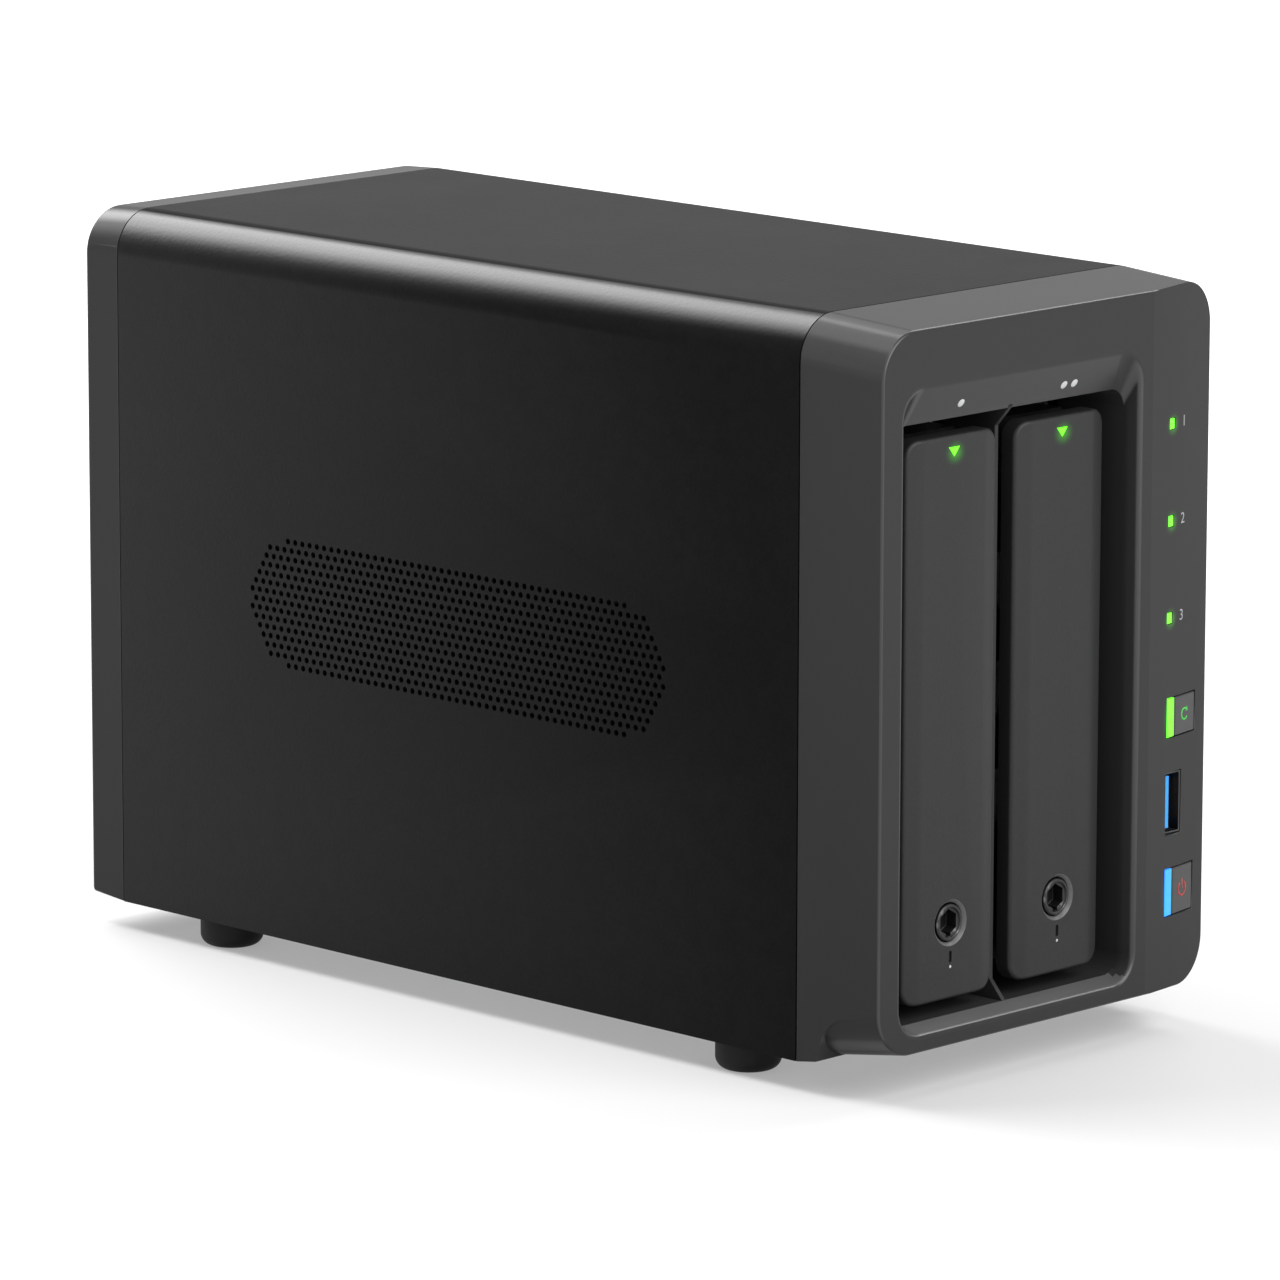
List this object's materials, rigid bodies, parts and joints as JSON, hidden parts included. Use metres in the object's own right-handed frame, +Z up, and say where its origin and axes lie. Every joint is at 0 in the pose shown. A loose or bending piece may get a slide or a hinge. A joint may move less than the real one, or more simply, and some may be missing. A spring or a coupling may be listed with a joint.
{
  "type": "network attached storage",
  "caption": "Upright desktop storage box with lockable pull-out drive trays, front buttons and port, a rear fan and network sockets, on rubber feet.",
  "frame": {"origin": "on the floor under the middle of the case, at the bottom of the feet", "axes": "+Z up, +X to the right as seen from the front, +Y from the front to the back, so the front faces -Y"},
  "size_m": [0.1036, 0.232, 0.157],
  "materials": {
    "cover_paint": "fine-grained satin black paint",
    "bezel_finish": "satin dark grey, softly reflecting",
    "tray_plastic": "fine-grained matte",
    "black_plastic": "matte moulded",
    "foot_rubber": "matte",
    "zinc_sheet": "zinc-plated sheet",
    "panel_steel": "black powder coat",
    "screw_steel": "black oxide",
    "plated_steel": "nickel plated",
    "blue_plastic": "moulded insert",
    "circuit_board": "green solder mask",
    "cast_aluminium": "cast and machined",
    "green_light": "lit light pipe",
    "blue_light": "lit light pipe"
  },
  "bodies": {
    "case": {"outer_cover": "cover_paint", "base_pan": "zinc_sheet", "front_bezel": "bezel_finish", "rear_bezel": "bezel_finish", "rear_panel": "panel_steel", "foot_front_left": "foot_rubber", "foot_front_right": "foot_rubber", "foot_rear_left": "foot_rubber", "foot_rear_right": "foot_rubber", "cover_screw_left": "screw_steel", "cover_screw_right": "screw_steel", "fan_screw_lower_left": "screw_steel", "fan_screw_upper_left": "screw_steel", "fan_screw_lower_right": "screw_steel", "fan_screw_upper_right": "screw_steel", "status_light": "green_light", "link_light_1": "green_light", "link_light_2": "green_light", "front_board": "circuit_board", "front_usb_shell": "plated_steel", "front_usb_tongue": "blue_plastic", "mainboard": "circuit_board", "heatsink": "cast_aluminium", "memory_module": "circuit_board", "memory_socket": "black_plastic", "clock_battery": "plated_steel", "rear_board": "circuit_board", "board_connector": "black_plastic", "backplane": "circuit_board", "rear_usb_port_lower": "plated_steel", "rear_usb_port_upper": "plated_steel", "lan_port_1": "plated_steel", "lan_port_2": "plated_steel", "expansion_port": "plated_steel", "power_jack": "black_plastic", "fan_frame": "black_plastic", "cage_left": "zinc_sheet", "cage_right": "zinc_sheet", "cage_divider": "zinc_sheet", "cage_top": "zinc_sheet", "drive_socket_1": "black_plastic", "drive_socket_2": "black_plastic"},
    "fan": {"fan_rotor": "black_plastic"},
    "copy_key": {"copy_button": "bezel_finish", "copy_light_bar": "green_light"},
    "power_key": {"power_button": "bezel_finish", "power_light_bar": "blue_light"},
    "reset_pin": {"reset_button": "black_plastic"},
    "tray_1": {"tray_1_body": "black_plastic", "tray_1_drive": "cast_aluminium", "tray_1_hinge_pin": "plated_steel"},
    "handle_1": {"tray_1_handle": "tray_plastic", "tray_1_light": "green_light"},
    "lock_1": {"tray_1_lock": "screw_steel"},
    "tray_2": {"tray_2_body": "black_plastic", "tray_2_drive": "cast_aluminium", "tray_2_hinge_pin": "plated_steel"},
    "handle_2": {"tray_2_handle": "tray_plastic", "tray_2_light": "green_light"},
    "lock_2": {"tray_2_lock": "screw_steel"}
  },
  "joints": [
    {"name": "tray_1_slide", "type": "slide", "parent": "case", "child": "tray_1", "axis": [0, -1, 0], "range_m": [0, 0.15]},
    {"name": "tray_1_handle_hinge", "type": "hinge", "parent": "tray_1", "child": "handle_1", "pos_m": [-0.02577, -0.1044, 0.1245], "axis": [-1, 0, 0], "range_deg": [0, 45]},
    {"name": "tray_1_lock_turn", "type": "hinge", "parent": "handle_1", "child": "lock_1", "pos_m": [-0.02577, -0.112, 0.0335], "axis": [0, -1, 0], "range_deg": [0, 90]},
    {"name": "tray_2_slide", "type": "slide", "parent": "case", "child": "tray_2", "axis": [0, -1, 0], "range_m": [0, 0.15]},
    {"name": "tray_2_handle_hinge", "type": "hinge", "parent": "tray_2", "child": "handle_2", "pos_m": [0.00633, -0.1044, 0.1245], "axis": [-1, 0, 0], "range_deg": [0, 45]},
    {"name": "tray_2_lock_turn", "type": "hinge", "parent": "handle_2", "child": "lock_2", "pos_m": [0.00633, -0.112, 0.0335], "axis": [0, -1, 0], "range_deg": [0, 90]},
    {"name": "copy_button_press", "type": "slide", "parent": "case", "child": "copy_key", "axis": [-0.1819, 0.9833, 0], "range_m": [0, 0.0012], "stiffness_N_per_m": 1500, "springref_m": -0.0005},
    {"name": "power_button_press", "type": "slide", "parent": "case", "child": "power_key", "axis": [-0.1819, 0.9833, 0], "range_m": [0, 0.0012], "stiffness_N_per_m": 1500, "springref_m": -0.0005},
    {"name": "reset_button_press", "type": "slide", "parent": "case", "child": "reset_pin", "axis": [0, -1, 0], "range_m": [0, 0.0008], "stiffness_N_per_m": 1200, "springref_m": -0.0004},
    {"name": "fan_spin", "type": "hinge", "parent": "case", "child": "fan", "pos_m": [0, 0.0939, 0.104], "axis": [0, 1, 0], "continuous": true}
  ]
}
